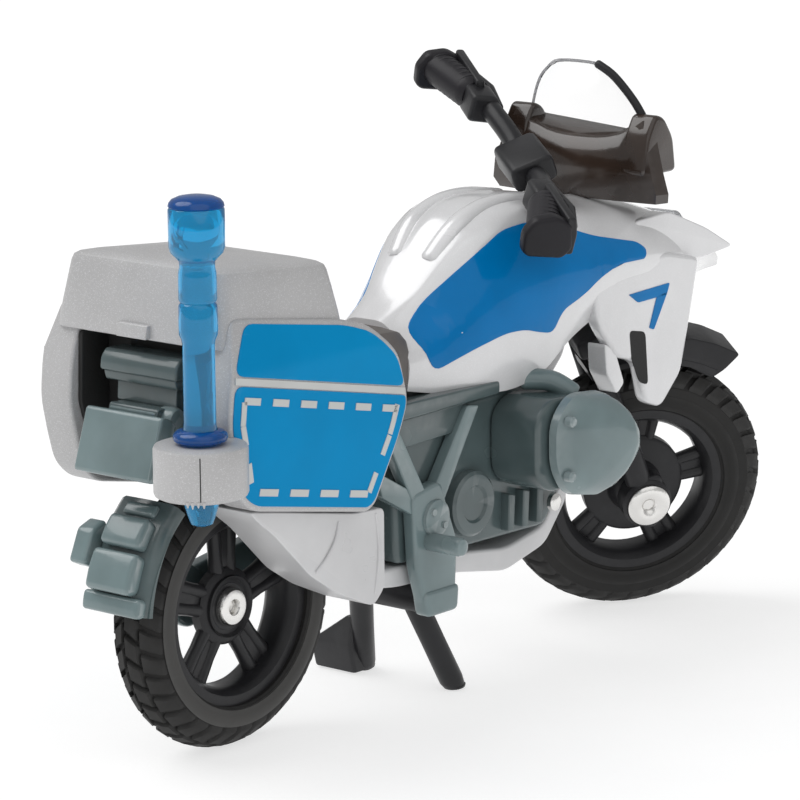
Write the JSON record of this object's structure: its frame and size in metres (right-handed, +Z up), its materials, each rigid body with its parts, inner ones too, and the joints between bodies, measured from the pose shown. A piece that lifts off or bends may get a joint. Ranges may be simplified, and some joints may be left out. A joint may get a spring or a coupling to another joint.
{
  "type": "toy motorcycle",
  "caption": "Pocket-size free-rolling toy police touring motorcycle with a steering front end, rolling wheels, folding centre stand, hard luggage cases and a clear light mast.",
  "frame": {"origin": "on the ground, under the middle of the toy's overall box as it stands with the steering turned", "axes": "+X forward along the mid-plane, +Y to the rider's left, +Z up"},
  "size_m": [0.076, 0.0277, 0.0465],
  "materials": {
    "silver_enamel": "gloss enamel",
    "silver_plastic": "satin",
    "metallic_grey_plastic": "fine metallic flake",
    "clear_blue_plastic": "clear gloss",
    "smoked_plastic": "clear gloss",
    "clear_plastic": "clear gloss",
    "seat_plastic": "matt",
    "engine_plastic": "semi-gloss",
    "black_plastic": "satin",
    "tyre_rubber": "matt",
    "bright_steel": "bright",
    "blue_paint": "gloss print",
    "silver_paint": "satin print"
  },
  "bodies": {
    "chassis": {"body_shell": "silver_enamel", "side_fairing_right": "silver_enamel", "side_fairing_left": "silver_enamel", "belly_pan": "silver_plastic", "silencer": "silver_plastic", "top_case": "metallic_grey_plastic", "pannier_right": "metallic_grey_plastic", "pannier_left": "metallic_grey_plastic", "mast_socket": "metallic_grey_plastic", "light_mast": "clear_blue_plastic", "windscreen": "smoked_plastic", "headlight": "clear_plastic", "seat": "seat_plastic", "crankcase": "engine_plastic", "cylinder_right": "engine_plastic", "cylinder_left": "engine_plastic", "cylinder_cover_right": "engine_plastic", "cylinder_cover_left": "engine_plastic", "frame_plate_right": "engine_plastic", "frame_plate_left": "engine_plastic", "rear_frame": "engine_plastic", "swingarm": "engine_plastic", "tail_lamp": "engine_plastic", "number_plate": "engine_plastic", "rear_hugger": "engine_plastic", "rear_axle": "bright_steel", "stand_pin": "bright_steel", "body_screws": "bright_steel"},
    "steering": {"fork": "black_plastic", "front_mudguard": "black_plastic", "steering_stem": "bright_steel", "handlebar": "black_plastic", "front_axle": "bright_steel"},
    "front_wheel": {"front_wheel_rim": "black_plastic", "front_tyre": "tyre_rubber"},
    "rear_wheel": {"rear_wheel_rim": "black_plastic", "rear_tyre": "tyre_rubber"},
    "stand": {"centre_stand": "black_plastic"}
  },
  "joints": [
    {"name": "steering_turn", "type": "hinge", "parent": "chassis", "child": "steering", "pos_m": [0.0265, -0.0015, 0.01078], "axis": [-0.4384, 0, 0.8988], "range_deg": [-2, 74]},
    {"name": "front_wheel_spin", "type": "hinge", "parent": "steering", "child": "front_wheel", "pos_m": [0.0265, -0.0015, 0.01078], "axis": [0.5283, 0.809, 0.2577], "continuous": true},
    {"name": "rear_wheel_spin", "type": "hinge", "parent": "chassis", "child": "rear_wheel", "pos_m": [-0.0235, -0.0015, 0.0106], "axis": [0, 1, 0], "continuous": true},
    {"name": "stand_fold", "type": "hinge", "parent": "chassis", "child": "stand", "pos_m": [-0.0052, -0.0015, 0.0079], "axis": [0, 1, 0], "range_deg": [0, 85]}
  ]
}
